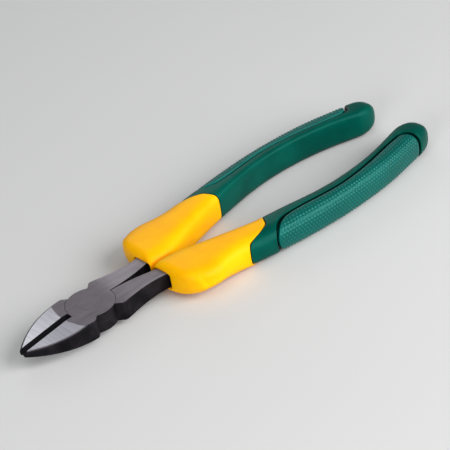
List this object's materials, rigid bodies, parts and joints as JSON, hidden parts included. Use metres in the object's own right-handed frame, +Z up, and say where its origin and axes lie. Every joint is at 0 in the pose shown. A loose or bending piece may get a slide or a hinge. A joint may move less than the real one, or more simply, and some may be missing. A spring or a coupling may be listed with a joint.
{
  "type": "side-cutting pliers",
  "caption": "Hand pliers with ground cutting jaws, a lapped joint on a flush rivet and two-part moulded handle grips.",
  "frame": {"origin": "on the rivet's axis, at the lower flat face of the joint", "axes": "+X along the pliers towards the jaw tips, +Z up along the rivet, +Y across the handles"},
  "size_m": [0.206, 0.0586, 0.0134],
  "materials": {
    "lower_steel": "ground grey steel with dark forged sides and bright ground jaw faces",
    "upper_steel": "ground grey steel with dark forged sides and bright ground jaw faces",
    "rivet_steel": "ground flush, grey",
    "collar_plastic": "satin warm yellow moulding",
    "sleeve_rubber": "satin deep teal green moulding",
    "inlay_rubber": "dotted soft teal green"
  },
  "bodies": {
    "lower_handle": {"lower_half": "lower_steel", "pivot_rivet": "rivet_steel", "near_collar": "collar_plastic", "near_sleeve": "sleeve_rubber", "near_inlay": "inlay_rubber"},
    "upper_handle": {"upper_half": "upper_steel", "far_collar": "collar_plastic", "far_sleeve": "sleeve_rubber", "far_inlay": "inlay_rubber"}
  },
  "joints": [
    {"name": "jaw_pivot", "type": "hinge", "parent": "lower_handle", "child": "upper_handle", "pos_m": [0, 0, 0.0041], "axis": [0, 0, 1], "range_deg": [0, 35]}
  ]
}
